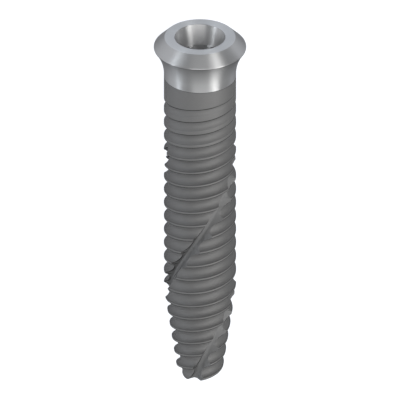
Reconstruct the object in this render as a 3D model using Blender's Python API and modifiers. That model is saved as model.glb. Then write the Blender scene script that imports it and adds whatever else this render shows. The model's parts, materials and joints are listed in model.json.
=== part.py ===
"""A two-start dental implant fixture with a flared collar, modelled in metres.

The fixture is drawn on its own axis, with the platform at the origin and the
apex straight below it. A station is a distance down that axis from the platform,
and a turn is a share of a full turn round it, anticlockwise from the front (-Y).
The finished fixture is then laid on its side, on the collar's rim and the crest
of the last full thread, with the middle of its footprint at the origin.
"""

import math

import bmesh
import bpy
from mathutils import Matrix, Vector

MM = 0.001

# Fixture body
BODY_DIAMETER = 3.75 * MM
FIXTURE_LENGTH = 20.0 * MM
TAPER_LENGTH = 5.0 * MM
TAPER_HALF_ANGLE = math.radians(8.1)
APEX_ROUND_RADIUS = 0.2 * MM

# Collar: flat platform, bevel, narrow rim and a hollow flare down to the body
COLLAR_DIAMETER = 4.8 * MM
PLATFORM_DIAMETER = 3.68 * MM
BEVEL_HEIGHT = 0.56 * MM
RIM_HEIGHT = 0.06 * MM
FLARE_RADIUS = 2.65 * MM
FLARE_ROWS = 6

# External thread: round-bottomed grooves between narrow flat crests
THREAD_STARTS = 2
THREAD_PITCH = 0.8 * MM
GROOVE_DEPTH = 0.26 * MM
CREST_WIDTH = 0.12 * MM
THREAD_START_STATION = 3.1 * MM
THREAD_RUN_IN = 0.35 * MM
SHALLOW_DEPTH = 0.04 * MM
FULL_DEPTH_STATION = 6.7 * MM
FRONT_GROOVE_STATION = 3.49 * MM
GROOVE_HALF_ROWS = 2

# Cutting flutes: a leaning wall on one side, a flat floor that rises on the other
FLUTE_COUNT = 2
FLUTE_LEAD = 15.8 * MM
FLUTE_FRONT_STATION = 10.75 * MM
FLUTE_DEPTH = 0.32 * MM
FLUTE_FLOOR_SLOPE = 0.06
FLUTE_WALL_LEAN = 0.17 * MM
FLUTE_REACH = 1.3 * MM
FLUTE_FULL_STATION = 7.35 * MM
FLUTE_RUN_OUT = 1.2 * MM
FLUTE_STEP = 0.3 * MM

# Inside: conical mouth, six-lobe drive, screw bore with a drilled end
MOUTH_DIAMETER = 2.68 * MM
MOUTH_DEPTH = 1.07 * MM
MOUTH_HALF_ANGLE = math.radians(12.0)
DRIVE_LOBES = 6
DRIVE_DEPTH = 2.9 * MM
DRIVE_OUTER_DIAMETER = 2.15 * MM
DRIVE_RIDGE_HEIGHT = 0.2 * MM
DRIVE_RIDGE_TOP_SHARE = 0.16
DRIVE_RIDGE_FOOT_SHARE = 0.3
DRIVE_POCKET_POINTS = 3
BORE_DIAMETER = 1.6 * MM
BORE_DEPTH = 8.4 * MM
DRILL_POINT_HALF_ANGLE = math.radians(59.0)

# The side that it rests on, as a share of a full turn from the front
REST_TURN = 0.55

# Facets
SKIN_COLUMNS = 40
BORE_COLUMNS = 32
APEX_CUTTER_COLUMNS = 36
LEAST_GROOVE_DEPTH = 0.006 * MM
LEAST_END_GAP = 0.03 * MM
CUTTER_CLEARANCE = 0.3 * MM
MERGE_DISTANCE = 0.0001 * MM
SLIVER_WIDTH = 0.0005 * MM
SHARP_ANGLE = math.radians(32.0)

# Worked out from the sizes above
BODY_RADIUS = BODY_DIAMETER / 2
COLLAR_RADIUS = COLLAR_DIAMETER / 2
THREAD_LEAD = THREAD_STARTS * THREAD_PITCH
GROOVE_HALF_WIDTH = (THREAD_PITCH - CREST_WIDTH) / 2
GROOVE_RADIUS = (GROOVE_HALF_WIDTH**2 + GROOVE_DEPTH**2) / (2 * GROOVE_DEPTH)
TAPER_STATION = FIXTURE_LENGTH - TAPER_LENGTH
RIM_STATION = BEVEL_HEIGHT + RIM_HEIGHT


def clear_scene() -> None:
    """Remove every object that the startup scene holds."""
    for obj in list(bpy.data.objects):
        bpy.data.objects.remove(obj, do_unlink=True)


def make_collection(name: str) -> bpy.types.Collection:
    """Add an empty collection to the scene."""
    collection = bpy.data.collections.new(name)
    bpy.context.scene.collection.children.link(collection)
    return collection


def make_object(name: str, mesh: bpy.types.Mesh, collection: bpy.types.Collection) -> bpy.types.Object:
    """Add an object for a mesh to a collection."""
    obj = bpy.data.objects.new(name, mesh)
    collection.objects.link(obj)
    return obj


def mesh_from(name: str, form: bmesh.types.BMesh) -> bpy.types.Mesh:
    """Turn the faces of a form outward and store it as a mesh."""
    bmesh.ops.recalc_face_normals(form, faces=form.faces)
    mesh = bpy.data.meshes.new(name)
    form.to_mesh(mesh)
    form.free()
    return mesh


def titanium() -> bpy.types.Material:
    """Grey blasted titanium."""
    material = bpy.data.materials.new("blasted_titanium")
    material.use_nodes = True
    shader = material.node_tree.nodes["Principled BSDF"]
    shader.inputs["Base Color"].default_value = (0.24, 0.24, 0.25, 1.0)
    shader.inputs["Metallic"].default_value = 0.9
    shader.inputs["Roughness"].default_value = 0.5
    return material


def share(value: float, start: float, end: float) -> float:
    """How far a value has come from start to end, held between 0 and 1."""
    return min(1.0, max(0.0, (value - start) / (end - start)))


def around(radius: float, turn: float, station: float) -> Vector:
    """The point at a radius, a turn and a station of the fixture's own axis."""
    angle = 2 * math.pi * turn
    return Vector((radius * math.sin(angle), -radius * math.cos(angle), -station))


def body_radius(station: float) -> float:
    """Crest radius of the body: a cylinder that tapers towards the apex."""
    return BODY_RADIUS - max(0.0, station - TAPER_STATION) * math.tan(TAPER_HALF_ANGLE)


def groove_depth(station: float) -> float:
    """Depth of a thread groove whose middle is at the station.

    The groove runs in at its start, grows down the neck and then stays full.
    """
    run_in = share(station, THREAD_START_STATION, THREAD_START_STATION + THREAD_RUN_IN)
    growth = share(station, THREAD_START_STATION, FULL_DEPTH_STATION)
    return run_in * (SHALLOW_DEPTH + growth * (GROOVE_DEPTH - SHALLOW_DEPTH))


def grooves_at(turn: float) -> list[tuple[int, float, float]]:
    """Number, middle station and depth of each groove crossed at a turn, top to bottom."""
    reach = FIXTURE_LENGTH + GROOVE_HALF_WIDTH + THREAD_LEAD - FRONT_GROOVE_STATION
    lift = FRONT_GROOVE_STATION - THREAD_LEAD * turn
    found = []
    for number in range(-THREAD_STARTS, math.ceil(reach / THREAD_PITCH)):
        middle = lift + number * THREAD_PITCH
        depth = groove_depth(middle)
        if depth > LEAST_GROOVE_DEPTH:
            found.append((number, middle, depth))
    return found


def groove_rows(middle: float, depth: float) -> list[tuple[float, float]]:
    """Station and cut of each point across one groove, a round arc from edge to edge."""
    opening = math.acos(1 - depth / GROOVE_RADIUS)
    rows = []
    for step in range(-GROOVE_HALF_ROWS, GROOVE_HALF_ROWS + 1):
        angle = opening * step / GROOVE_HALF_ROWS
        cut = GROOVE_RADIUS * (math.cos(angle) - math.cos(opening))
        rows.append((middle + GROOVE_RADIUS * math.sin(angle), cut))
    return rows


def end_cut(turn: float) -> float:
    """How deep a groove cuts the outline of the apex face at a turn."""
    for _, middle, depth in grooves_at(turn):
        away = abs(FIXTURE_LENGTH - middle)
        floor = GROOVE_RADIUS - depth
        if away < GROOVE_RADIUS and math.sqrt(GROOVE_RADIUS**2 - away**2) > floor:
            return math.sqrt(GROOVE_RADIUS**2 - away**2) - floor
    return 0.0


def collar_profile() -> list[tuple[float, float]]:
    """Radius and station of each point from the platform's edge down to the body."""
    drop = math.sqrt(FLARE_RADIUS**2 - (FLARE_RADIUS + BODY_RADIUS - COLLAR_RADIUS) ** 2)
    sweep = math.asin(drop / FLARE_RADIUS)
    profile = [(PLATFORM_DIAMETER / 2, 0.0), (COLLAR_RADIUS, BEVEL_HEIGHT)]
    for row in range(FLARE_ROWS + 1):
        angle = sweep * (1 - row / FLARE_ROWS)
        radius = BODY_RADIUS + FLARE_RADIUS * (1 - math.cos(angle))
        profile.append((radius, RIM_STATION + drop - FLARE_RADIUS * math.sin(angle)))
    return profile


def skin_column(form: bmesh.types.BMesh, turn: float) -> dict:
    """Add the points down one column of the outer skin, each under its row's name."""
    column = {}
    for row, (radius, station) in enumerate(collar_profile()):
        column["collar", row] = form.verts.new(around(radius, turn, station))
    for number, middle, depth in grooves_at(turn):
        for row, (station, cut) in enumerate(groove_rows(middle, depth)):
            if station < FIXTURE_LENGTH - LEAST_END_GAP:
                radius = body_radius(station) - cut
                column[number, row] = form.verts.new(around(radius, turn, station))
    radius = body_radius(FIXTURE_LENGTH) - end_cut(turn)
    column["apex", 0] = form.verts.new(around(radius, turn, FIXTURE_LENGTH))
    return column


def after_full_turn(column: dict) -> dict:
    """The same column with its grooves numbered as they are met one turn later."""
    renamed = {}
    for (name, row), point in column.items():
        later = name + THREAD_STARTS if isinstance(name, int) else name
        renamed[later, row] = point
    return renamed


def join_columns(form: bmesh.types.BMesh, left: dict, right: dict) -> None:
    """Add the faces between two columns, from each row that both have to the next."""
    left_rows, right_rows = list(left), list(right)
    shared = [row for row in left_rows if row in right]
    for upper, lower in zip(shared, shared[1:]):
        down = left_rows[left_rows.index(upper) : left_rows.index(lower) + 1]
        up = right_rows[right_rows.index(upper) : right_rows.index(lower) + 1]
        form.faces.new([left[row] for row in down] + [right[row] for row in reversed(up)])


def fixture_skin() -> bpy.types.Mesh:
    """The outer form as a loft of columns: collar, threaded body, taper and apex face."""
    form = bmesh.new()
    columns = []
    for number in range(SKIN_COLUMNS):
        columns.append(skin_column(form, (number + 0.5) / SKIN_COLUMNS))
    for left, right in zip(columns, columns[1:]):
        join_columns(form, left, right)
    join_columns(form, columns[-1], after_full_turn(columns[0]))
    form.faces.new([column["collar", 0] for column in columns])
    form.faces.new([column["apex", 0] for column in columns])
    uneven = [face for face in form.faces if len(face.verts) < SKIN_COLUMNS]
    bmesh.ops.triangulate(form, faces=uneven, quad_method="SHORT_EDGE")
    return mesh_from("implant_fixture", form)


def turned_cutter(
    name: str, profile: list[tuple[float, float]], steps: int, collection: bpy.types.Collection
) -> bpy.types.Object:
    """A cutter turned from a profile of radius and station, outer side from top to bottom."""
    form = bmesh.new()
    points = [form.verts.new((radius, 0.0, -station)) for radius, station in profile]
    for upper, lower in zip(points, points[1:]):
        form.edges.new((upper, lower))
    mesh = bpy.data.meshes.new(name)
    form.to_mesh(mesh)
    form.free()
    cutter = make_object(name, mesh, collection)
    screw = cutter.modifiers.new("turn", "SCREW")
    screw.steps = steps
    screw.render_steps = steps
    screw.use_merge_vertices = True
    screw.merge_threshold = MERGE_DISTANCE
    return cutter


def bore_cutter(collection: bpy.types.Collection) -> bpy.types.Object:
    """Conical mouth, then the screw bore down to its drilled point."""
    mouth_radius = MOUTH_DIAMETER / 2
    slope = math.tan(MOUTH_HALF_ANGLE)
    bore_radius = BORE_DIAMETER / 2
    point = bore_radius / math.tan(DRILL_POINT_HALF_ANGLE)
    profile = [
        (0.0, -CUTTER_CLEARANCE),
        (mouth_radius + CUTTER_CLEARANCE * slope, -CUTTER_CLEARANCE),
        (mouth_radius - MOUTH_DEPTH * slope, MOUTH_DEPTH),
        (bore_radius, MOUTH_DEPTH),
        (bore_radius, BORE_DEPTH),
        (0.0, BORE_DEPTH + point),
    ]
    return turned_cutter("bore_cutter", profile, BORE_COLUMNS, collection)


def apex_cutter(collection: bpy.types.Collection) -> bpy.types.Object:
    """A ring that rounds the outer corner of the apex."""
    arc_rows = 3
    outer = BODY_RADIUS + CUTTER_CLEARANCE
    corner_station = FIXTURE_LENGTH - APEX_ROUND_RADIUS
    corner_radius = body_radius(corner_station)
    profile = [(outer, corner_station), (outer, FIXTURE_LENGTH + CUTTER_CLEARANCE)]
    inner = corner_radius - APEX_ROUND_RADIUS
    profile.append((inner, FIXTURE_LENGTH + CUTTER_CLEARANCE))
    for row in range(arc_rows, -1, -1):
        angle = math.pi / 2 * row / arc_rows
        radius = inner + APEX_ROUND_RADIUS * math.cos(angle)
        profile.append((radius, corner_station + APEX_ROUND_RADIUS * math.sin(angle)))
    profile.append((outer, corner_station))
    return turned_cutter("apex_cutter", profile, APEX_CUTTER_COLUMNS, collection)


def drive_lobe() -> list[tuple[float, float]]:
    """Share of the lobe's period and radius of each point round one ridge and one pocket."""
    outer = DRIVE_OUTER_DIAMETER / 2
    inner = outer - DRIVE_RIDGE_HEIGHT
    top = DRIVE_RIDGE_TOP_SHARE / 2
    foot = DRIVE_RIDGE_FOOT_SHARE / 2
    points = [(-foot, outer), (-top, inner), (top, inner), (foot, outer)]
    for point in range(1, DRIVE_POCKET_POINTS + 1):
        along = point / (DRIVE_POCKET_POINTS + 1)
        points.append((foot + along * (1 - DRIVE_RIDGE_FOOT_SHARE), outer))
    return points


def drive_cutter(collection: bpy.types.Collection) -> bpy.types.Object:
    """A prism with six wide pockets, a ridge of the fixture standing between each two."""
    form = bmesh.new()
    outline = []
    for lobe in range(DRIVE_LOBES):
        for along, radius in drive_lobe():
            turn = (lobe + 0.5 + along) / DRIVE_LOBES
            outline.append(form.verts.new(around(radius, turn, MOUTH_DEPTH - CUTTER_CLEARANCE)))
    face = form.faces.new(outline)
    height = DRIVE_DEPTH - MOUTH_DEPTH + CUTTER_CLEARANCE
    swept = bmesh.ops.extrude_face_region(form, geom=[face])
    moved = [item for item in swept["geom"] if isinstance(item, bmesh.types.BMVert)]
    bmesh.ops.translate(form, verts=moved, vec=(0.0, 0.0, -height))
    return make_object("drive_cutter", mesh_from("drive_cutter", form), collection)


def flute_depth(station: float) -> float:
    """Depth of a flute at the foot of its wall, which runs out in an arc at the top."""
    short = max(0.0, FLUTE_FULL_STATION - station) / FLUTE_RUN_OUT
    return FLUTE_DEPTH * (1 - short**2)


def flute_section(station: float, first_turn: float) -> list[Vector]:
    """Corners of one flute's section: foot of the wall, floor, and two clear of the body."""
    turn = first_turn + (FLUTE_FRONT_STATION - station) / FLUTE_LEAD
    depth = flute_depth(station)
    lean = FLUTE_WALL_LEAN / FLUTE_DEPTH
    foot = lean * depth - FLUTE_WALL_LEAN / 2
    clear = CUTTER_CLEARANCE + max(0.0, -depth)
    corners = [
        (foot, -depth),
        (FLUTE_REACH, FLUTE_FLOOR_SLOPE * (FLUTE_REACH - foot) - depth),
        (FLUTE_REACH, clear + FLUTE_FLOOR_SLOPE * FLUTE_REACH),
        (foot - lean * (depth + clear), clear),
    ]
    outward = around(1.0, turn, 0.0)
    sideways = around(1.0, turn + 0.25, 0.0)
    middle = outward * body_radius(station) + Vector((0.0, 0.0, -station))
    return [middle + outward * height + sideways * along for along, height in corners]


def flute_cutter(number: int, collection: bpy.types.Collection) -> bpy.types.Object:
    """A right-hand helical flute that follows the taper and leaves through the apex."""
    form = bmesh.new()
    top = FLUTE_FULL_STATION - FLUTE_RUN_OUT - FLUTE_STEP
    bottom = FIXTURE_LENGTH + CUTTER_CLEARANCE
    steps = math.ceil((bottom - top) / FLUTE_STEP)
    rings = []
    for step in range(steps + 1):
        station = top + (bottom - top) * step / steps
        section = flute_section(station, number / FLUTE_COUNT)
        rings.append([form.verts.new(corner) for corner in section])
    for upper, lower in zip(rings, rings[1:]):
        for side in range(len(upper)):
            following = (side + 1) % len(upper)
            form.faces.new((upper[side], lower[side], lower[following], upper[following]))
    form.faces.new(rings[0])
    form.faces.new(rings[-1])
    bmesh.ops.triangulate(form, faces=form.faces, quad_method="SHORT_EDGE")
    name = f"flute_cutter_{number + 1}"
    return make_object(name, mesh_from(name, form), collection)


def cut(target: bpy.types.Object, cutter: bpy.types.Object) -> None:
    """Take a cutter's volume away from the target and hide the cutter."""
    boolean = target.modifiers.new(cutter.name, "BOOLEAN")
    boolean.operation = "DIFFERENCE"
    boolean.solver = "EXACT"
    boolean.object = cutter
    cutter.hide_render = True
    cutter.display_type = "WIRE"
    cutter.parent = target.parent


def keep_cuts(obj: bpy.types.Object) -> None:
    """Store the cut mesh on the object without its slivers, smooth but for its sharp edges."""
    bpy.context.view_layer.update()
    graph = bpy.context.evaluated_depsgraph_get()
    whole = obj.data
    finished = bpy.data.meshes.new_from_object(obj.evaluated_get(graph))
    form = bmesh.new()
    form.from_mesh(finished)
    bmesh.ops.remove_doubles(form, verts=form.verts, dist=SLIVER_WIDTH)
    bmesh.ops.dissolve_degenerate(form, dist=SLIVER_WIDTH, edges=form.edges)
    form.to_mesh(finished)
    form.free()
    finished.shade_smooth()
    finished.set_sharp_from_angle(angle=SHARP_ANGLE)
    obj.modifiers.clear()
    obj.data = finished
    finished.name = obj.name
    bpy.data.meshes.remove(whole)


def world_points(obj: bpy.types.Object) -> list[Vector]:
    """The object's points in the world."""
    bpy.context.view_layer.update()
    return [obj.matrix_world @ vertex.co for vertex in obj.data.vertices]


def lay_down(datum: bpy.types.Object, fixture: bpy.types.Object) -> None:
    """Lay the fixture on its resting side, on the collar's rim and the last full crest."""
    roll = Matrix.Rotation(2 * math.pi * (0.5 - REST_TURN), 4, "Z")
    datum.matrix_world = roll
    points = world_points(fixture)
    back = max(point.y for point in points)
    rim = max(-point.z for point in points if back - point.y < MERGE_DISTANCE)
    drops = []
    for point in points:
        if -point.z > rim + THREAD_PITCH:
            drops.append(math.atan2(back - point.y, -point.z - rim))
    tilt = min(drops)
    outward = Vector((-math.cos(tilt), 0.0, math.sin(tilt)))
    upward = Vector((math.sin(tilt), 0.0, math.cos(tilt)))
    sideways = Vector((0.0, 1.0, 0.0))
    datum.matrix_world = Matrix((sideways, -upward, outward)).transposed().to_4x4() @ roll
    points = world_points(fixture)
    lowest = [min(point[axis] for point in points) for axis in range(3)]
    highest = [max(point[axis] for point in points) for axis in range(3)]
    middle_x = (lowest[0] + highest[0]) / 2
    middle_y = (lowest[1] + highest[1]) / 2
    datum.location = (-middle_x, -middle_y, -lowest[2])


def main() -> None:
    """Build the fixture, cut its flutes and its inside, and lay it down."""
    clear_scene()
    parts = make_collection("dental_implant")
    cutters = make_collection("cutters")
    cutters.hide_render = True
    datum = bpy.data.objects.new("axis_datum", None)
    parts.objects.link(datum)
    fixture = make_object("implant_fixture", fixture_skin(), parts)
    fixture.parent = datum
    fixture.data.materials.append(titanium())
    for number in range(FLUTE_COUNT):
        cut(fixture, flute_cutter(number, cutters))
    cut(fixture, apex_cutter(cutters))
    cut(fixture, bore_cutter(cutters))
    cut(fixture, drive_cutter(cutters))
    keep_cuts(fixture)
    lay_down(datum, fixture)


if __name__ == "__main__":
    main()
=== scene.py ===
"""The finished look of a dental implant: one titanium fixture that lies on a pale floor.

The fixture is drawn on its own axis, with the platform's middle at the origin and
the apex straight below it. A station is a distance down that axis, and a turn is a
share of a full turn round it, anticlockwise from the front. The placement then puts
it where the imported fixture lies. All lengths are in metres.
"""

import json
import logging
import math
from collections.abc import Callable
from dataclasses import dataclass, field, replace
from enum import IntEnum
from functools import partial

import bmesh
import bpy
from mathutils import Matrix, Vector

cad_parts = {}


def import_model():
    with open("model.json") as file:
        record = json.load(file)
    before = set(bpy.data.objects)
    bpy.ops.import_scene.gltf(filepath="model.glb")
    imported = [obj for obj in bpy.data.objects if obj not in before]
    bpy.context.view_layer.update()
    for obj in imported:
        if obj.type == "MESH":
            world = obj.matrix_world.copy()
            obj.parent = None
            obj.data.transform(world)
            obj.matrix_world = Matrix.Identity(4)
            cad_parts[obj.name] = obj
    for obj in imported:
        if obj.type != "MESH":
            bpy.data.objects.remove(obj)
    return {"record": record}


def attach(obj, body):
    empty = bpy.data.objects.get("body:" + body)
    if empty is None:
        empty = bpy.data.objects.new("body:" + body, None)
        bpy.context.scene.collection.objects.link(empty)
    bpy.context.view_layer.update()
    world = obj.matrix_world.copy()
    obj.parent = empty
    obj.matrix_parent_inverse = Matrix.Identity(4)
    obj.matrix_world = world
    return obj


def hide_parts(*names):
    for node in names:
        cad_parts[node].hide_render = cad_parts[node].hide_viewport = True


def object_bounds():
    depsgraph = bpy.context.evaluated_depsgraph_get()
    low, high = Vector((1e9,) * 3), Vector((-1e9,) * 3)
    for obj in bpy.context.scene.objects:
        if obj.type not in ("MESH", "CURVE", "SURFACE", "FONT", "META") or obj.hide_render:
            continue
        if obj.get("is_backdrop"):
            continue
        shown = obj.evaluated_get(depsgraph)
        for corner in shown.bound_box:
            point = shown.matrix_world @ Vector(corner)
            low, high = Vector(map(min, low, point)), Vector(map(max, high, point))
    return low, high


LOG = logging.getLogger("dental_implant")
MM = 0.001
NODE = "implant_fixture"
PICTURE_WIDTH = 400
PIXELS_PER_MM = 19.27
MERGE_DISTANCE = 0.0002 * MM
SHARP_ANGLE = math.radians(40.0)

Row = tuple[tuple[object, int], float, float]
Sockets = dict[str | int, object]
Colour = tuple[float, float, float, float]
Range = tuple[float, float]
Line = list[Range]


class Region(IntEnum):
    """The finishes of the fixture, in the order of its material slots."""

    MACHINED = 0
    BLASTED = 1
    BORE = 2
    FLOOR = 3
    WALL = 4


def share(value: float, start: float, end: float) -> float:
    """How far a value has come from start to end, held between 0 and 1."""
    return min(1.0, max(0.0, (value - start) / (end - start)))


def around(radius: float, turn: float, station: float) -> Vector:
    """The point at a radius, a turn and a station of the fixture's own axis."""
    angle = 2 * math.pi * turn
    return Vector((radius * math.sin(angle), -radius * math.cos(angle), -station))


def rounded(corners: Line, cuts: list[float], steps: int) -> Line:
    """Round the inner corners of a flat line.

    Args:
        corners: The line's corners, ends included.
        cuts: Length that each inner corner gives up on both sides.
        steps: Points on each rounding, less one.

    Returns:
        The line with each corner replaced by a short curve.
    """
    line = [corners[0]]
    for before, corner, after, cut in zip(corners, corners[1:], corners[2:], cuts):
        here = Vector(corner)
        start = here + (Vector(before) - here).normalized() * cut
        end = here + (Vector(after) - here).normalized() * cut
        for step in range(steps + 1):
            along = step / steps
            point = start * (1 - along) ** 2 + here * 2 * along * (1 - along) + end * along**2
            line.append((point.x, point.y))
    line.append(corners[-1])
    return line


def closed_mesh(
    form: bmesh.types.BMesh, name: str, region: Region | None = None
) -> bpy.types.Mesh:
    """Turn a form's faces outward and store it.

    Args:
        form: The form, which is freed.
        name: Name of the new mesh.
        region: The finish that its faces leave on what they cut, or None to keep their own.

    Returns:
        The new mesh.
    """
    bmesh.ops.recalc_face_normals(form, faces=form.faces)
    if region is not None:
        for face in form.faces:
            face.material_index = region
    mesh = bpy.data.meshes.new(name)
    form.to_mesh(mesh)
    form.free()
    return mesh


def linked(name: str, data: bpy.types.ID) -> bpy.types.Object:
    """Add an object to the scene on its mesh, light or camera."""
    item = bpy.data.objects.new(name, data)
    bpy.context.scene.collection.objects.link(item)
    return item


@dataclass(frozen=True)
class Placement:
    """Where the fixture's own axis lies in the frame, read from the mount on its platform."""

    rest_turn: float = 0.55
    mount_radius: float = 1.59 * MM

    def matrix(self, record: dict) -> Matrix:
        """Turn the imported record's mount into the fixture's place.

        Args:
            record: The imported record, whose first mount lies on the platform.

        Returns:
            The matrix from the fixture's own axis to the frame.
        """
        mount = record["mounts"][0]
        outward = Vector(mount["axis"]).normalized()
        sideways = Vector((0.0, 1.0, 0.0))
        down = outward.cross(sideways)
        roll = Matrix.Rotation(2 * math.pi * (0.5 - self.rest_turn), 3, "Z")
        turned = Matrix((sideways, down, outward)).transposed() @ roll
        middle = Vector(mount["pos_m"]) - turned @ around(self.mount_radius, 0.0, 0.0)
        return Matrix.Translation(middle) @ turned.to_4x4()


@dataclass(frozen=True)
class Loft:
    """A closed skin of columns round the axis, between two flat caps.

    Rows are joined to the rows of the same name in the next column. Rows named by a
    number belong to a helix, which is one start further on after a full turn.
    """

    columns: int
    starts: int
    rows_at: Callable[[float], list[Row]]
    region_of: Callable[[float], Region]

    def mesh(self, name: str) -> bpy.types.Mesh:
        """Build the skin with both caps.

        Args:
            name: Name of the new mesh.

        Returns:
            The mesh, its faces turned outward.
        """
        form = bmesh.new()
        turns = [(number + 0.5) / self.columns for number in range(self.columns)]
        columns = [self._column(form, turn) for turn in turns]
        for left, right in zip(columns, columns[1:]):
            self._join(form, left, right)
        self._join(form, columns[-1], self._one_turn_on(columns[0]))
        for end in (0, -1):
            form.faces.new([list(column.values())[end] for column in columns])
        for face in form.faces:
            face.material_index = self.region_of(-face.calc_center_median().z)
        return closed_mesh(form, name)

    def _column(self, form: bmesh.types.BMesh, turn: float) -> dict:
        """Add the points down one column, each under its row's name."""
        column = {}
        for name, radius, station in self.rows_at(turn):
            column[name] = form.verts.new(around(radius, turn, station))
        return column

    def _one_turn_on(self, column: dict) -> dict:
        """The same column with its helical rows numbered as they are met one turn later."""
        renamed = {}
        for (name, row), point in column.items():
            later = name + self.starts if isinstance(name, int) else name
            renamed[later, row] = point
        return renamed

    @staticmethod
    def _join(form: bmesh.types.BMesh, left: dict, right: dict) -> None:
        """Add the faces between two columns, from each row that both have to the next."""
        left_rows, right_rows = list(left), list(right)
        left_place = {row: place for place, row in enumerate(left_rows)}
        right_place = {row: place for place, row in enumerate(right_rows)}
        shared = [row for row in left_rows if row in right_place]
        for upper, lower in zip(shared, shared[1:]):
            down = left_rows[left_place[upper] : left_place[lower] + 1]
            up = right_rows[right_place[upper] : right_place[lower] + 1]
            form.faces.new([left[row] for row in down] + [right[row] for row in reversed(up)])


@dataclass
class Collar:
    """Conical mouth, flat platform, bevel, narrow rim and the hollow flare to the body."""

    diameter: float = 4.8 * MM
    platform_diameter: float = 3.68 * MM
    bevel_height: float = 0.56 * MM
    rim_height: float = 0.06 * MM
    flare_radius: float = 2.65 * MM
    flare_rows: int = 18
    mouth_diameter: float = 2.63 * MM
    mouth_depth: float = 1.07 * MM
    mouth_half_angle: float = math.radians(12.0)
    finish_end: float = 2.28 * MM
    edge: float = 0.03 * MM
    rim_edge_share: float = 0.45
    edge_steps: int = 3

    def rows(self, body_radius: float) -> list[Row]:
        """The profile from the mouth's floor over the platform and down to the body.

        Args:
            body_radius: Radius of the body that the flare runs into.

        Returns:
            Name, radius and station of each row.
        """
        mouth = self.mouth_diameter / 2
        rim = self.diameter / 2
        rim_station = self.bevel_height + self.rim_height
        drop = math.sqrt(self.flare_radius**2 - (self.flare_radius + body_radius - rim) ** 2)
        sweep = math.asin(drop / self.flare_radius)
        flare = []
        for row in range(1, self.flare_rows + 1):
            angle = sweep * (1 - row / self.flare_rows)
            radius = body_radius + self.flare_radius * (1 - math.cos(angle))
            flare.append((radius, rim_station + drop - self.flare_radius * math.sin(angle)))
        corners = [
            (mouth - self.mouth_depth * math.tan(self.mouth_half_angle), self.mouth_depth),
            (mouth, 0.0),
            (self.platform_diameter / 2, 0.0),
            (rim, self.bevel_height),
            (rim, rim_station),
            flare[0],
        ]
        rim_edge = self.rim_edge_share * self.rim_height
        line = rounded(corners, [self.edge, self.edge, rim_edge, rim_edge], self.edge_steps)
        line += flare[1:] + [(body_radius, self.finish_end)]
        return [(("collar", row), radius, station) for row, (radius, station) in enumerate(line)]


@dataclass
class ExternalThread:
    """Two-start thread of round-bottomed grooves that grow down the neck."""

    starts: int = 2
    pitch: float = 0.8 * MM
    depth: float = 0.26 * MM
    crest_width: float = 0.12 * MM
    start_station: float = 3.1 * MM
    run_in: float = 0.35 * MM
    shallow_depth: float = 0.04 * MM
    full_station: float = 6.7 * MM
    front_station: float = 3.49 * MM
    arc_steps: int = 9
    edge: float = 0.012 * MM
    most_edge_share: float = 0.2
    least_depth: float = 0.003 * MM

    @property
    def arc_radius(self) -> float:
        """Radius of the groove's round bottom."""
        half = (self.pitch - self.crest_width) / 2
        return (half**2 + self.depth**2) / (2 * self.depth)

    def depth_at(self, station: float) -> float:
        """Depth of a groove whose middle is at the station."""
        run_in = share(station, self.start_station, self.start_station + self.run_in)
        growth = share(station, self.start_station, self.full_station)
        return run_in * (self.shallow_depth + growth * (self.depth - self.shallow_depth))

    def grooves(self, turn: float, end: float) -> list[tuple[int, float, float]]:
        """Find the grooves that a column crosses.

        Args:
            turn: Turn of the column.
            end: Station of the apex.

        Returns:
            Number, middle station and depth of each groove, top to bottom.
        """
        lead = self.starts * self.pitch
        lift = self.front_station - lead * turn
        reach = end + self.pitch + lead - self.front_station
        found = []
        for number in range(-self.starts, math.ceil(reach / self.pitch)):
            middle = lift + number * self.pitch
            depth = self.depth_at(middle)
            if depth > self.least_depth:
                found.append((number, middle, depth))
        return found

    def section(self, middle: float, depth: float) -> Line:
        """Draw one groove from edge to edge, both edges slightly rounded.

        Args:
            middle: Station of the groove's middle.
            depth: Its depth there.

        Returns:
            Station and cut of each point.
        """
        opening = math.acos(1 - depth / self.arc_radius)
        floor = math.cos(opening)
        edge = min(self.edge, self.most_edge_share * self.arc_radius * opening)
        inner = opening - edge / self.arc_radius
        half = []
        for step in range(self.arc_steps + 1):
            angle = inner * (1 - 2 * step / self.arc_steps)
            cut = self.arc_radius * (math.cos(angle) - floor)
            half.append((-self.arc_radius * math.sin(angle), cut))
        corner = self.arc_radius * math.sin(opening)
        first_along, first_cut = half[0]
        # The middle of the curve that rounds the edge.
        blend = ((first_along - 3 * corner - edge) / 4, first_cut / 4)
        points = [(-corner - edge, 0.0), blend, *half, (-blend[0], blend[1]), (corner + edge, 0.0)]
        return [(middle + along, cut) for along, cut in points]

    def cut_at(self, turn: float, station: float) -> float:
        """How deep the grooves cut the body at one point."""
        for _, middle, depth in self.grooves(turn, station):
            reach = self.arc_radius**2 - (station - middle) ** 2
            cut = math.sqrt(max(0.0, reach)) - self.arc_radius + depth
            if cut > 0.0:
                return cut
        return 0.0


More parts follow.
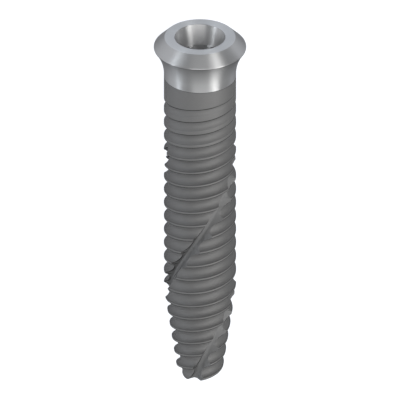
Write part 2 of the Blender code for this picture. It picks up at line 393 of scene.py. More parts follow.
@dataclass
class CuttingFlutes:
    """Two right-hand flutes: a leaning wall, a short floor and a bank back to the surface."""

    count: int = 2
    lead: float = 15.7 * MM
    front_station: float = 10.78 * MM
    depth: float = 0.42 * MM
    floor_width: float = 0.18 * MM
    bank_slope: float = 0.52
    wall_lean: float = 0.22 * MM
    full_station: float = 7.35 * MM
    run_out: float = 1.2 * MM
    ring_gap: float = 0.1 * MM
    clearance: float = 0.3 * MM
    foot_round: float = 0.07 * MM
    foot_steps: int = 6

    def depth_at(self, station: float) -> float:
        """Depth at the foot of the wall, which runs out in an arc at the top."""
        short = max(0.0, self.full_station - station) / self.run_out
        return self.depth * (1 - short**2)

    def section(self, station: float, first_turn: float, body_radius: float) -> list[Vector]:
        """Draw one flute's section in the plane that touches the body at the wall.

        Args:
            station: Station of the section.
            first_turn: Turn of this flute's wall where the first flute's is in front.
            body_radius: The body's crest radius at the station.

        Returns:
            Its corners, from above the wall down it, along the floor and up the bank.
        """
        turn = first_turn + (self.front_station - station) / self.lead
        depth = self.depth_at(station)
        lean = self.wall_lean / self.depth
        foot = lean * depth - self.wall_lean / 2
        clear = self.clearance + max(0.0, -depth)
        bank = foot + self.floor_width
        corners = [
            (foot - lean * (depth + clear), clear),
            (foot, -depth),
            (bank, -depth),
            (bank + (depth + clear) / self.bank_slope, clear),
        ]
        line = rounded(corners, [self.foot_round] * 2, self.foot_steps)
        outward = around(1.0, turn, 0.0)
        sideways = around(1.0, turn + 0.25, 0.0)
        middle = outward * body_radius + Vector((0.0, 0.0, -station))
        return [middle + outward * height + sideways * along for along, height in line]

    def cutter(
        self, number: int, radius_at: Callable[[float], float], end: float
    ) -> bpy.types.Mesh:
        """Sweep the section along one flute.

        Args:
            number: Which flute.
            radius_at: The body's crest radius by station.
            end: Station of the apex.

        Returns:
            The closed cutter.
        """
        form = bmesh.new()
        top = self.full_station - self.run_out - 2 * self.ring_gap
        bottom = end + self.clearance
        steps = math.ceil((bottom - top) / self.ring_gap)
        rings = []
        for step in range(steps + 1):
            station = top + (bottom - top) * step / steps
            section = self.section(station, number / self.count, radius_at(station))
            rings.append([form.verts.new(corner) for corner in section])
        wall_sides = self.foot_steps // 2 + 1
        for upper, lower in zip(rings, rings[1:]):
            for side in range(len(upper)):
                after = (side + 1) % len(upper)
                ring_sides = (upper[side], lower[side], lower[after], upper[after])
                region = Region.WALL if side < wall_sides else Region.FLOOR
                form.faces.new(ring_sides).material_index = region
        for ring in (rings[0], rings[-1]):
            form.faces.new(ring).material_index = Region.FLOOR
        bmesh.ops.triangulate(form, faces=form.faces, quad_method="SHORT_EDGE")
        return closed_mesh(form, f"flute_cutter_{number + 1}")


@dataclass
class Interior:
    """The six-lobe drive under the mouth and the threaded screw bore."""

    lobes: int = 6
    drive_depth: float = 2.9 * MM
    drive_diameter: float = 2.15 * MM
    ridge_height: float = 0.2 * MM
    ridge_top_share: float = 0.16
    ridge_foot_share: float = 0.3
    pocket_points: int = 12
    bore_diameter: float = 1.6 * MM
    bore_depth: float = 8.4 * MM
    bore_columns: int = 72
    drill_half_angle: float = math.radians(59.0)
    thread_diameter: float = 2.0 * MM
    thread_pitch: float = 0.4 * MM
    thread_start: float = 3.3 * MM
    thread_end: float = 7.9 * MM
    thread_fade: float = 0.5 * MM
    thread_flank_share: float = 0.28
    thread_crest_share: float = 0.1
    point_share: float = 0.02
    clearance: float = 0.3 * MM

    def drive_cutter(self, mouth_depth: float) -> bpy.types.Mesh:
        """The drive's hollow: wide pockets with a narrow ridge between each two.

        Args:
            mouth_depth: Station where the drive starts.

        Returns:
            The closed cutter.
        """
        outer = self.drive_diameter / 2
        inner = outer - self.ridge_height
        top, foot = self.ridge_top_share / 2, self.ridge_foot_share / 2
        flank, half_way = (top + foot) / 2, (outer + inner) / 2
        lobe = [(-foot, outer), (-flank, half_way), (-top, inner), (0.0, inner)]
        lobe += [(top, inner), (flank, half_way), (foot, outer)]
        for point in range(1, self.pocket_points):
            lobe.append((foot + (1 - 2 * foot) * point / self.pocket_points, outer))
        form = bmesh.new()
        top_station = mouth_depth - self.clearance
        outline = []
        for number in range(self.lobes):
            for along, radius in lobe:
                corner = around(radius, (number + 0.5 + along) / self.lobes, top_station)
                outline.append(form.verts.new(corner))
        swept = bmesh.ops.extrude_face_region(form, geom=[form.faces.new(outline)])
        moved = [item for item in swept["geom"] if isinstance(item, bmesh.types.BMVert)]
        bmesh.ops.translate(form, verts=moved, vec=(0.0, 0.0, top_station - self.drive_depth))
        return closed_mesh(form, "drive_cutter", Region.MACHINED)

    def _bore_rows(self, top: float, turn: float) -> list[Row]:
        """Rows of the bore cutter down one column, from its top to the drilled point."""
        minor = self.bore_diameter / 2
        height = (self.thread_diameter - self.bore_diameter) / 2
        rows: list[Row] = [(("bore", 0), minor, top)]
        first = self.thread_start - self.thread_pitch * turn
        crest = self.thread_crest_share * self.thread_pitch
        foot = crest + self.thread_flank_share * self.thread_pitch
        ridge = ((-foot, 0.0), (-crest, height), (crest, height), (foot, 0.0))
        for number in range(1, math.ceil((self.thread_end - first) / self.thread_pitch)):
            middle = first + number * self.thread_pitch
            fade = share(middle, self.thread_start, self.thread_start + self.thread_fade)
            fade *= share(self.thread_end - middle, 0.0, self.thread_fade)
            for row, (along, rise) in enumerate(ridge):
                rows.append(((number, row), minor + fade * rise, middle + along))
        rows.append((("bore", 1), minor, self.bore_depth))
        point = self.point_share * minor
        drop = (minor - point) / math.tan(self.drill_half_angle)
        rows.append((("bore", 2), point, self.bore_depth + drop))
        return rows

    def bore_cutter(self, mouth_depth: float) -> bpy.types.Mesh:
        """The screw bore with its fine thread and drilled end, from just above the drive."""
        rows_at = partial(self._bore_rows, mouth_depth - self.clearance / 2)
        return Loft(self.bore_columns, 1, rows_at, lambda _: Region.BORE).mesh("bore_cutter")


@dataclass(frozen=True)
class Wire:
    """A socket of a material's nodes, on which arithmetic adds Math nodes."""

    graph: "Graph"
    socket: bpy.types.NodeSocket

    def _math(self, operation: str, *values: object) -> "Wire":
        """Add one Math node on the values."""
        inputs = dict(enumerate(values))
        return self.graph.add("ShaderNodeMath", {"operation": operation}, inputs).out()

    def __add__(self, other: object) -> "Wire":
        """Sum."""
        return self._math("ADD", self, other)

    def __radd__(self, other: object) -> "Wire":
        """Reflected sum."""
        return self._math("ADD", other, self)

    def __sub__(self, other: object) -> "Wire":
        """Difference."""
        return self._math("SUBTRACT", self, other)

    def __rsub__(self, other: object) -> "Wire":
        """Reflected difference."""
        return self._math("SUBTRACT", other, self)

    def __mul__(self, other: object) -> "Wire":
        """Product."""
        return self._math("MULTIPLY", self, other)

    def __rmul__(self, other: object) -> "Wire":
        """Reflected product."""
        return self._math("MULTIPLY", other, self)

    def __truediv__(self, other: object) -> "Wire":
        """Quotient."""
        return self._math("DIVIDE", self, other)

    def __rtruediv__(self, other: object) -> "Wire":
        """Reflected quotient."""
        return self._math("DIVIDE", other, self)

    def root(self) -> "Wire":
        """Square root of the value."""
        return self._math("SQRT", self)

    def above(self, floor: float) -> "Wire":
        """The value, or the floor where the value is lower."""
        return self._math("MAXIMUM", self, floor)

    def whole(self) -> "Wire":
        """The nearest whole number."""
        return self._math("ROUND", self)

    def angle_to(self, other: "Wire") -> "Wire":
        """Angle of the point that has this value across and the other along."""
        return self._math("ARCTAN2", self, other)

    def share(self, start: float, end: float) -> "Wire":
        """How far the value has come from start to end, held between 0 and 1."""
        return self._range("LINEAR", start, end)

    def smooth(self, start: float, end: float) -> "Wire":
        """A soft step from 0 at start to 1 at end."""
        return self._range("SMOOTHSTEP", start, end)

    def swing(self, amount: float) -> "Wire":
        """A noise's swing about its middle, times an amount."""
        return (self - 0.5) * amount

    def band(self, rise: Range, fall: Range) -> "Wire":
        """A soft band of 1 that starts over one range and ends over another."""
        return self.smooth(*rise) * (1.0 - self.smooth(*fall))

    def _range(self, kind: str, start: float, end: float) -> "Wire":
        """Map the range onto 0 to 1."""
        inputs = {"Value": self, "From Min": start, "From Max": end}
        return self.graph.add("ShaderNodeMapRange", {"interpolation_type": kind}, inputs).out()


@dataclass(frozen=True)
class Placed:
    """A node that stands in a material's graph."""

    graph: "Graph"
    node: bpy.types.Node

    def out(self, name: str | int = 0) -> Wire:
        """One of the node's outputs."""
        return Wire(self.graph, self.node.outputs[name])


class Graph:
    """The node tree of one new material or world."""

    def __init__(self, tree: bpy.types.NodeTree) -> None:
        """Start from an empty tree."""
        self.tree = tree
        tree.nodes.clear()

    def add(
        self, kind: str, settings: dict[str, object] | None = None, inputs: Sockets | None = None
    ) -> Placed:
        """Add one node.

        Args:
            kind: The node's type.
            settings: Its own settings, which are set first.
            inputs: A value or a Wire for each socket, by name or number.

        Returns:
            The placed node.
        """
        node = self.tree.nodes.new(kind)
        for name, value in (settings or {}).items():
            setattr(node, name, value)
        for name, value in (inputs or {}).items():
            if isinstance(value, Wire):
                self.tree.links.new(value.socket, node.inputs[name])
            else:
                node.inputs[name].default_value = value
        return Placed(self, node)

    def mix(self, factor: Wire, first: Colour | Wire, second: Colour | Wire) -> Wire:
        """Mix two colours by a factor; a Mix node keeps its colours in sockets 6, 7 and 2."""
        inputs = {0: factor, 6: first, 7: second}
        return self.add("ShaderNodeMix", {"data_type": "RGBA"}, inputs).out(2)

    def noise(self, place: Wire, scale: float, detail: float, roughness: float = 0.5) -> Wire:
        """Cloudy noise between 0 and 1 at a place."""
        inputs = {"Vector": place, "Scale": scale, "Detail": detail, "Roughness": roughness}
        return self.add("ShaderNodeTexNoise", inputs=inputs).out()

    def bump(self, height: Wire, strength: float, distance: float) -> Wire:
        """A normal that follows a height."""
        inputs = {"Strength": strength, "Distance": distance, "Height": height}
        return self.add("ShaderNodeBump", inputs=inputs).out()

    def place(self) -> Wire:
        """The place on the fixture's own axis."""
        return self.add("ShaderNodeTexCoord").out("Object")


def grey(level: float, warmth: float = 0.0) -> Colour:
    """A near-grey colour, warmer above 0 and bluer below."""
    return (level * (1 + warmth), level, level * (1 - warmth), 1.0)


def distance_across(split: Placed) -> Wire:
    """Distance from the axis of a place that is split into its parts."""
    across, back = split.out("X"), split.out("Y")
    return (across * across + back * back).root()


@dataclass(frozen=True)
class ThreadMap:
    """Follows the thread over the surface of a material, on the fixture's own axis."""

    thread: ExternalThread
    graph: Graph
    place: Wire
    line_rise: Range = (-0.06 * MM, -0.03 * MM)
    line_fall: Range = (0.02 * MM, 0.045 * MM)
    line_least_width: Range = (0.05 * MM, 0.1 * MM)

    def split(self) -> Placed:
        """The place's three parts."""
        return self.graph.add("ShaderNodeSeparateXYZ", inputs={"Vector": self.place})

    def station(self) -> Wire:
        """Distance below the platform."""
        return 0.0 - self.split().out("Z")

    def turn(self) -> Wire:
        """Turn from the front, anticlockwise."""
        split = self.split()
        return split.out("X").angle_to(0.0 - split.out("Y")) / (2 * math.pi)

    def below_groove(self) -> Wire:
        """How far the point lies below the middle of the nearest groove."""
        thread = self.thread
        lead = thread.starts * thread.pitch
        lift = self.station() - thread.front_station + self.turn() * lead
        count = lift / thread.pitch
        return (count - count.whole()) * thread.pitch

    def depth(self) -> Wire:
        """Depth of the nearest groove."""
        thread = self.thread
        station = self.station()
        run_in = station.share(thread.start_station, thread.start_station + thread.run_in)
        growth = station.share(thread.start_station, thread.full_station)
        return run_in * (growth * (thread.depth - thread.shallow_depth) + thread.shallow_depth)

    def half_width(self) -> Wire:
        """Half the nearest groove's width."""
        depth = self.depth()
        return (depth * (2 * self.thread.arc_radius - depth)).root()

    def crest_line(self) -> Wire:
        """Thin line at the lower edge of a crest, where the next groove starts; the finishes paint
        shade along it.
        """
        half = self.half_width()
        above_edge = (0.0 - self.below_groove()) - half
        line = above_edge.band(self.line_rise, self.line_fall)
        return line * half.smooth(*self.line_least_width)

    def cut(self) -> Wire:
        """How deep the groove cuts at the point."""
        arc = self.thread.arc_radius
        below = self.below_groove()
        reach = (arc**2 - below * below).above(0.0).root()
        return (reach - arc + self.depth()).above(0.0)


class Finish:
    """What every finish shares: a name, and one shader that its sockets feed."""

    name: str

    def sockets(self, graph: Graph) -> Sockets:
        """What feeds the shader."""
        raise NotImplementedError

    def material(self) -> bpy.types.Material:
        """Build the finish."""
        material = bpy.data.materials.new(self.name)
        material.use_nodes = True
        graph = Graph(material.node_tree)
        shader = graph.add("ShaderNodeBsdfPrincipled", inputs=self.sockets(graph)).out()
        graph.add("ShaderNodeOutputMaterial", inputs={"Surface": shader})
        return material


@dataclass(frozen=True)
class MachinedTitanium(Finish):
    """Turned titanium with fine rings, with painted shade under the rim and painted light on the
    platform and in the mouth.
    """

    collar: Collar
    name: str = "machined_titanium"
    level: float = 0.39
    dark_level: float = 0.34
    seat_painted_light_level: float = 0.48
    mouth_painted_light_level: float = 0.58
    under_rim_shade: float = 0.6
    rim_line_shade: float = 0.6
    flare_end_light: float = 1.15
    warmth: float = -0.004
    seat_painted_light_warmth: float = -0.03
    roughness: float = 0.42
    stretch: float = 0.9
    stretch_turn: float = 0.25
    edge_tint: float = 0.2
    ring_pitch: float = 0.022 * MM
    ring_height: float = 0.0005 * MM
    ring_contrast: float = 0.5
    ring_sheen: float = 0.08
    ring_relief: float = 0.6
    cloud_scale: float = 900.0
    cloud_contrast: float = 0.8
    cloud_sheen: float = 0.12
    seat_depth: float = 0.012 * MM
    rim_blend: float = 0.02 * MM
    rim_line: Range = (0.02 * MM, 0.06 * MM)

    def _flare_shade(self, station: Wire) -> Wire:
        """Painted shade under the rim that gives way to painted light near the flare's end, and a
        painted dark line at the rim's lower edge.
        """
        rim = self.collar.bevel_height + self.collar.rim_height
        down = station.share(rim, self.collar.finish_end)
        lift = down * (self.flare_end_light - self.under_rim_shade) + self.under_rim_shade
        flare = station.share(rim - self.rim_blend, rim)
        line = flare * (1.0 - (station - rim).smooth(*self.rim_line))
        return (1.0 - flare + flare * lift) * (1.0 - line * (1.0 - self.rim_line_shade))

    def sockets(self, graph: Graph) -> Sockets:
        """What feeds the shader."""
        place = graph.place()
        split = graph.add("ShaderNodeSeparateXYZ", inputs={"Vector": place})
        along = split.out("Z")
        across = graph.add("ShaderNodeCombineXYZ", inputs={"Z": along / self.ring_pitch}).out()
        rings = graph.noise(across, 1.0, detail=2.0)
        cloud = graph.noise(place, self.cloud_scale, detail=3.0)
        tone = rings.swing(self.ring_contrast) + cloud.swing(self.cloud_contrast) + 0.5
        dark, light = grey(self.dark_level, self.warmth), grey(self.level, self.warmth)
        colour = graph.mix(tone, dark, light)
        # Painted shade and painted light on the flare darken and lighten the colour.
        colour = graph.mix(self._flare_shade(0.0 - along), grey(0.0), colour)
        # Painted light: the platform's top is given a lighter, bluer colour.
        seat = (along + self.seat_depth).share(0.0, 0.5 * self.seat_depth)
        colour = graph.mix(seat, colour, grey(self.seat_painted_light_level, self.seat_painted_light_warmth))
        # Painted light: the mouth, drive and bore are given a lighter colour, since little light
        # reaches into them.
        mouth = self.collar.mouth_diameter / 2
        inside = 1.0 - distance_across(split).share(mouth - self.seat_depth, mouth)
        sheen = cloud.swing(self.cloud_sheen) + rings.swing(self.ring_sheen)
        return {
            "Base Color": graph.mix(inside, colour, grey(self.mouth_painted_light_level)),
            "Metallic": 1.0,
            "Roughness": self.roughness + sheen,
            "Specular Tint": grey(self.edge_tint),
            "Anisotropic": self.stretch,
            "Anisotropic Rotation": self.stretch_turn,
            "Normal": graph.bump(rings, self.ring_relief, self.ring_height),
        }


@dataclass(frozen=True)
class BlastedTitanium(Finish):
    """Grit-blasted and etched titanium: matt and fine-grained, with painted shade lines along the
    crests' edges.
    """

    thread: ExternalThread
    collar: Collar
    name: str = "blasted_titanium"
    level: float = 0.182
    dark_level: float = 0.144
    warmth: float = 0.006
    line_shade: float = 0.36
    upper_edge_share: float = 0.75
    metallic: float = 0.8
    roughness: float = 0.64
    gloss: float = 0.25
    edge_tint: float = 0.05
    grain: float = 0.045 * MM
    grain_height: float = 0.003 * MM
    grain_contrast: float = 0.7
    grain_relief: float = 0.5
    cloud_scale: float = 1100.0
    cloud_contrast: float = 0.9
    cloud_sheen: float = 0.1
    upper_rise: Range = (-0.03 * MM, -0.01 * MM)
    upper_fall: Range = (0.0, 0.015 * MM)
    upper_least_width: Range = (0.2 * MM, 0.32 * MM)
    seam_line: Range = (0.02 * MM, 0.06 * MM)

    def _shade(self, graph: Graph, place: Wire) -> Wire:
        """Darkening of the colour: painted shade lines at the crests' edges, and a thin dark line
        at the seam.
        """
        thread = ThreadMap(self.thread, graph, place)
        half = thread.half_width()
        # Painted shade: dark lines at each crest's upper and lower edges.
        upper_line = (thread.below_groove() - half).band(self.upper_rise, self.upper_fall)
        upper_line = upper_line * half.share(*self.upper_least_width)
        seam = 1.0 - (thread.station() - self.collar.finish_end).smooth(*self.seam_line)
        shade = 1.0 - thread.crest_line() * (1.0 - self.line_shade)
        shade = shade * (1.0 - upper_line * (1.0 - self.upper_edge_share))
        return shade * (1.0 - seam * (1.0 - self.upper_edge_share))

    def sockets(self, graph: Graph) -> Sockets:
        """What feeds the shader."""
        place = graph.place()
        pits = graph.noise(place, 1 / self.grain, detail=3.0, roughness=0.6)
        cloud = graph.noise(place, self.cloud_scale, detail=4.0)
        tone = pits.swing(self.grain_contrast) + cloud.swing(self.cloud_contrast) + 0.5
        dark, light = grey(self.dark_level, self.warmth), grey(self.level, self.warmth)
        colour = graph.mix(tone, dark, light)
        return {
            "Base Color": graph.mix(self._shade(graph, place), grey(0.0), colour),
            "Metallic": self.metallic,
            "Roughness": self.roughness + cloud.swing(self.cloud_sheen),
            "Specular IOR Level": self.gloss,
            "Specular Tint": grey(self.edge_tint),
            "Normal": graph.bump(pits, self.grain_relief, self.grain_height),
        }


@dataclass(frozen=True)
class GroundTitanium(Finish):
    """Titanium ground by the flute's cutter, with marks along the flute and painted shade at the
    wall's top.
    """

    thread: ExternalThread
    flutes: CuttingFlutes
    body: "Fixture"
    name: str = "flute_floor"
    level: float = 0.185
    dark_level: float = 0.152
    line_shade: float = 1.0
    metallic: float = 0.8
    roughness: float = 0.64
    gloss: float = 0.25
    edge_tint: float = 0.05
    mark_pitch: float = 0.05 * MM
    mark_contrast: float = 1.1
    mark_sheen: float = 0.1
    grain: float = 0.045 * MM
    grain_contrast: float = 0.5
    grain_share: float = 0.4
    relief: float = 0.5
    relief_height: float = 0.002 * MM
    stroke_width: float = 0.07 * MM
    stroke_growth: float = 0.1 * MM
    stroke_fade: Range = (0.5, 1.0)
    growth_range: Range = (-0.1 * MM, 0.36 * MM)
    stroke_range: Range = (-0.3 * MM, 0.05 * MM)
    bar_range: Range = (0.2 * MM, 0.32 * MM)

    def _marks(self, graph: Graph, thread: ThreadMap) -> Wire:
        """The cutter's fine marks, which run along the flute."""
        across = thread.turn() + thread.station() / self.flutes.lead
        pitch = self.mark_pitch / (math.pi * self.body.body_diameter)
        place = graph.add("ShaderNodeCombineXYZ", inputs={"X": across / pitch}).out()
        return graph.noise(place, 1.0, detail=2.0)

    def _stroke(self, thread: ThreadMap) -> Wire:
        """Painted shade: dark strokes on the wall, thin in each groove's middle and thick under its
        crest.
        """
        body = self.body
        narrowing = thread.station().share(body.length - body.taper_length, body.length)
        narrowing = narrowing * (body.taper_length * math.tan(body.taper_half_angle))
        buried = body.body_diameter / 2 - narrowing - thread.cut() - distance_across(thread.split())
        below = thread.below_groove()
        width = below.smooth(*self.growth_range) * self.stroke_growth + self.stroke_width
        top = 1.0 - (buried / width).smooth(*self.stroke_fade)
        top = top * below.smooth(*self.stroke_range)
        bar = thread.crest_line() * (1.0 - buried.smooth(*self.bar_range))
        return 1.0 - (1.0 - top) * (1.0 - bar)

    def sockets(self, graph: Graph) -> Sockets:
        """What feeds the shader."""
        place = graph.place()
        thread = ThreadMap(self.thread, graph, place)
        marks = self._marks(graph, thread)
        pits = graph.noise(place, 1 / self.grain, detail=3.0)
        tone = marks.swing(self.mark_contrast) + pits.swing(self.grain_contrast) + 0.5
        colour = graph.mix(tone, grey(self.dark_level), grey(self.level))
        # Painted shade along the wall's top edge and under the cut crests.
        shade = 1.0 - self._stroke(thread) * (1.0 - self.line_shade)
        height = marks * (1.0 - self.grain_share) + pits * self.grain_share
        return {
            "Base Color": graph.mix(shade, grey(0.0), colour),
            "Metallic": self.metallic,
            "Roughness": self.roughness + marks.swing(self.mark_sheen),
            "Specular IOR Level": self.gloss,
            "Specular Tint": grey(self.edge_tint),
            "Normal": graph.bump(height, self.relief, self.relief_height),
        }


@dataclass(frozen=True)
class ScrewBore(MachinedTitanium):
    """The inside of the screw bore, given a lighter colour as painted light, since little light
    reaches it.
    """

    name: str = "tapped_bore"
    # Painted light: lighter levels for the bore.
    level: float = 0.62
    dark_level: float = 0.48
    roughness: float = 0.35


@dataclass(frozen=True)
class PaleFloor(Finish):
    """The floor, which glows a little so that the picture's ground is even."""

    name: str = "pale_floor"
    level: float = 0.1
    roughness: float = 0.9
    gloss: float = 0.1
    glow: float = 0.97
    tint: Colour = (1.0, 1.02, 1.07, 1.0)

    def sockets(self, graph: Graph) -> Sockets:
        """What feeds the shader."""
        return {
            "Base Color": grey(self.level),
            "Roughness": self.roughness,
            "Specular IOR Level": self.gloss,
            "Emission Color": self.tint,
            "Emission Strength": self.glow,
        }


@dataclass
class Fixture:
    """The whole implant fixture, cut from one lofted skin."""

    length: float = 20.0 * MM
    body_diameter: float = 3.75 * MM
    taper_length: float = 5.0 * MM
    taper_half_angle: float = math.radians(8.1)
    apex_round: float = 0.12 * MM
    columns: int = 160
    apex_steps: int = 8
    least_end_gap: float = 0.02 * MM
    collar: Collar = field(default_factory=Collar)
    thread: ExternalThread = field(default_factory=ExternalThread)
    flutes: CuttingFlutes = field(default_factory=CuttingFlutes)
    interior: Interior = field(default_factory=Interior)

    def radius_at(self, station: float) -> float:
        """Crest radius of the body: a cylinder that tapers towards the apex."""
        taper = max(0.0, station - self.length + self.taper_length)
        return self.body_diameter / 2 - taper * math.tan(self.taper_half_angle)

    def _rows_at(self, turn: float) -> list[Row]:
        """Rows of the outer skin down one column."""
        rows = self.collar.rows(self.body_diameter / 2)
        for number, middle, depth in self.thread.grooves(turn, self.length):
            for row, (station, cut) in enumerate(self.thread.section(middle, depth)):
                if station < self.length - self.least_end_gap:
                    rows.append(((number, row), self.radius_at(station) - cut, station))
        end_radius = self.radius_at(self.length) - self.thread.cut_at(turn, self.length)
        rows.append((("apex", 0), end_radius, self.length))
        return rows

    def _region_of(self, station: float) -> Region:
        """The finish of the skin at a station."""
        return Region.MACHINED if station < self.collar.finish_end else Region.BLASTED

    def _apex_cutter(self) -> bpy.types.Mesh:
        """A ring that rounds the outer corner of the apex."""
        outer = self.body_diameter / 2
        top = self.length - self.apex_round
        below = self.length + self.flutes.clearance
        inner = self.radius_at(top) - self.apex_round
        line = [(outer, top), (outer, below), (inner, below)]
        for row in range(self.apex_steps, -1, -1):
            angle = math.pi / 2 * row / self.apex_steps
            radius = inner + self.apex_round * math.cos(angle)
            line.append((radius, top + self.apex_round * math.sin(angle)))
        form = bmesh.new()
        rings = []
        for number in range(self.columns):
            turn = number / self.columns
            ring = [around(radius, turn, station) for radius, station in line]
            rings.append([form.verts.new(point) for point in ring])
        for left, right in zip(rings, rings[1:] + rings[:1]):
            for side in range(len(line)):
                after = (side + 1) % len(line)
                form.faces.new((left[side], left[after], right[after], right[side]))
        return closed_mesh(form, "apex_cutter", Region.BLASTED)

    def _cutters(self) -> list[bpy.types.Mesh]:
        """Everything that is cut away from the skin, in order."""
        inside, mouth_depth = self.interior, self.collar.mouth_depth
        flutes = range(self.flutes.count)
        meshes = [self.flutes.cutter(number, self.radius_at, self.length) for number in flutes]
        meshes.append(self._apex_cutter())
        return meshes + [inside.bore_cutter(mouth_depth), inside.drive_cutter(mouth_depth)]

    def _finishes(self) -> tuple[Finish, ...]:
        """The finishes, in the order of the regions."""
        floor = GroundTitanium(self.thread, self.flutes, self)
        return (
            MachinedTitanium(self.collar),
            BlastedTitanium(self.thread, self.collar),
            ScrewBore(self.collar),
            floor,
            # The wall is a darker copy of the floor's finish, as painted shade.
            replace(floor, name="flute_wall_shaded", level=0.16, dark_level=0.13, line_shade=0.4),
        )

    def build(self, placement: Matrix) -> bpy.types.Object:
        """Loft the skin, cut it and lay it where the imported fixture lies.

        Args:
            placement: Matrix from the fixture's own axis to the frame.

        Returns:
            The finished piece.
        """
        loft = Loft(self.columns, self.thread.starts, self._rows_at, self._region_of)
        skin = loft.mesh("fixture_skin")
        materials = [finish.material() for finish in self._finishes()]
        for material in materials:
            skin.materials.append(material)
        piece = linked("fixture_surface", skin)
        cutters = []
        for mesh in self._cutters():
            for material in materials:
                mesh.materials.append(material)
            cutter = linked(mesh.name, mesh)
            boolean = piece.modifiers.new(mesh.name, "BOOLEAN")
            boolean.operation = "DIFFERENCE"
            boolean.solver = "EXACT"
            boolean.object = cutter
            cutters.append(cutter)
        self._keep_cuts(piece)
        for cutter in cutters:
            bpy.data.objects.remove(cutter)
        piece.matrix_world = placement
        return piece

    @staticmethod
    def _keep_cuts(piece: bpy.types.Object) -> None:
        """Store the cut mesh on the piece, smooth but for its sharp edges."""
        bpy.context.view_layer.update()
        graph = bpy.context.evaluated_depsgraph_get()
        finished = bpy.data.meshes.new_from_object(piece.evaluated_get(graph))
        form = bmesh.new()
        form.from_mesh(finished)
        bmesh.ops.remove_doubles(form, verts=form.verts, dist=MERGE_DISTANCE)
        bmesh.ops.dissolve_degenerate(form, dist=MERGE_DISTANCE, edges=form.edges)
        form.to_mesh(finished)
        form.free()
        finished.shade_smooth()
        finished.set_sharp_from_angle(angle=SHARP_ANGLE)
        piece.modifiers.clear()
        piece.data = finished
        weighted = piece.modifiers.new("weighted_normals", "WEIGHTED_NORMAL")
        weighted.keep_sharp = True


@dataclass(frozen=True)
class Lamp:
    """One soft light that faces the fixture, its length along the axis.

    Azimuth and elevation are degrees from the fixture's front, width and length are
    shares of the lamp's distance, and the floor's radiance is about 1.
    """

    name: str
    azimuth: float
    elevation: float
    width: float
    length: float
    radiance: float
    colour: tuple[float, float, float]


LAMPS = (
    Lamp("key_light", 4.0, 6.0, 1.1, 0.7, 2.1, (1.0, 1.0, 1.0)),
    Lamp("right_strip", 49.5, 0.0, 0.37, 5.0, 3.15, (1.0, 0.995, 0.98)),
    Lamp("left_strip", -71.0, 0.0, 0.16, 5.0, 4.6, (0.88, 0.94, 1.0)),
)


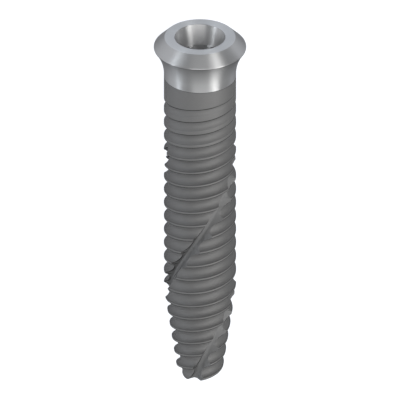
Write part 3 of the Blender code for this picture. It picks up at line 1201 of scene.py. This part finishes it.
@dataclass
class Studio:
    """Pale floor, soft lights and the camera at the photograph's angle."""

    placement: Matrix
    elevation: float = math.radians(30.0)
    frame_width: float = PICTURE_WIDTH / PIXELS_PER_MM * MM
    target_station: float = 9.78 * MM
    distance: float = 300.0 * MM
    clip_start: float = 1.0 * MM
    clip_end: float = 10.0
    floor_size: float = 4.0
    ambient_tint: Colour = (0.98, 0.99, 1.0, 1.0)
    ambient_below: float = 0.76
    ambient_above: float = 0.4
    lamp_distance: float = 0.4

    def _directions(self) -> tuple[Vector, Vector, Vector]:
        """The fixture's front, its right side and its platform's end, in the frame."""
        right, back, out = self.placement.to_3x3().transposed()
        return -back.normalized(), right.normalized(), out.normalized()

    def _target(self) -> Vector:
        """The point of the fixture's axis in the middle of the picture."""
        return self.placement @ around(0.0, 0.0, self.target_station)

    def _toward(self, azimuth: float, elevation: float) -> Vector:
        """Direction from the target, by degrees to the right of the front and above it."""
        side, up = math.radians(azimuth), math.radians(elevation)
        front, right, out = self._directions()
        level = front * math.cos(side) + right * math.sin(side)
        return level * math.cos(up) + out * math.sin(up)

    def camera(self) -> None:
        """Add the camera, which looks at the front from above the platform."""
        data = bpy.data.cameras.new("photo_camera")
        data.type = "ORTHO"
        data.ortho_scale = self.frame_width
        data.clip_start = self.clip_start
        data.clip_end = self.clip_end
        camera = linked("photo_camera", data)
        front, right, out = self._directions()
        away = front * math.cos(self.elevation) + out * math.sin(self.elevation)
        up = out * math.cos(self.elevation) - front * math.sin(self.elevation)
        turned = Matrix((right, up, away)).transposed().to_4x4()
        camera.matrix_world = Matrix.Translation(self._target() + away * self.distance) @ turned
        bpy.context.scene.camera = camera

    def floor(self) -> None:
        """Add the pale floor."""
        form = bmesh.new()
        bmesh.ops.create_grid(form, x_segments=1, y_segments=1, size=self.floor_size / 2)
        mesh = bpy.data.meshes.new("floor")
        form.to_mesh(mesh)
        form.free()
        mesh.materials.append(PaleFloor().material())
        floor = linked("floor", mesh)
        floor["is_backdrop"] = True

    def light(self, lamp: Lamp) -> None:
        """Add one of the lamps."""
        width, length = lamp.width * self.lamp_distance, lamp.length * self.lamp_distance
        data = bpy.data.lights.new(lamp.name, "AREA")
        data.shape = "RECTANGLE"
        data.size = width
        data.size_y = length
        data.energy = lamp.radiance * math.pi * width * length
        data.color = lamp.colour
        light = linked(lamp.name, data)
        toward = self._toward(lamp.azimuth, lamp.elevation)
        across = self._directions()[2].cross(toward).normalized()
        turned = Matrix((across, toward.cross(across), toward)).transposed().to_4x4()
        place = self._target() + toward * self.lamp_distance
        light.matrix_world = Matrix.Translation(place) @ turned

    def world(self) -> None:
        """Add pale light from all round, stronger from the apex's end."""
        world = bpy.data.worlds.new("studio")
        bpy.context.scene.world = world
        world.use_nodes = True
        graph = Graph(world.node_tree)
        toward = graph.add("ShaderNodeTexCoord").out("Generated")
        product = {0: toward, 1: self._directions()[2]}
        rise = graph.add("ShaderNodeVectorMath", {"operation": "DOT_PRODUCT"}, product)
        change = rise.out("Value").smooth(-1.0, 1.0) * (self.ambient_above - self.ambient_below)
        sockets = {"Color": self.ambient_tint, "Strength": change + self.ambient_below}
        background = graph.add("ShaderNodeBackground", inputs=sockets).out()
        graph.add("ShaderNodeOutputWorld", inputs={"Surface": background})

    def build(self) -> None:
        """Set up the floor, the lights and the camera."""
        self.camera()
        self.floor()
        self.world()
        for lamp in LAMPS:
            self.light(lamp)
        view = bpy.context.scene.view_settings
        view.view_transform = "Standard"
        view.look = "None"


def corners(box: tuple[Vector, Vector]) -> list[list[float]]:
    """A box's two corners as plain numbers."""
    return [[float(value) for value in corner] for corner in box]


def main() -> None:
    """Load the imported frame, dress it and light it."""
    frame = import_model()
    cad_box = corners(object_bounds())
    placement = Placement().matrix(frame["record"])
    Studio(placement).build()
    LOG.info("studio ready")
    fixture = Fixture().build(placement)
    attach(fixture, "root")
    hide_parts(NODE)
    LOG.info("%s: %d faces", fixture.name, len(fixture.data.polygons))
    {"cad": cad_box, "visual": corners(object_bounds())}


if __name__ == "__main__":
    logging.basicConfig(level=logging.INFO, format="%(name)s: %(message)s")
    main()
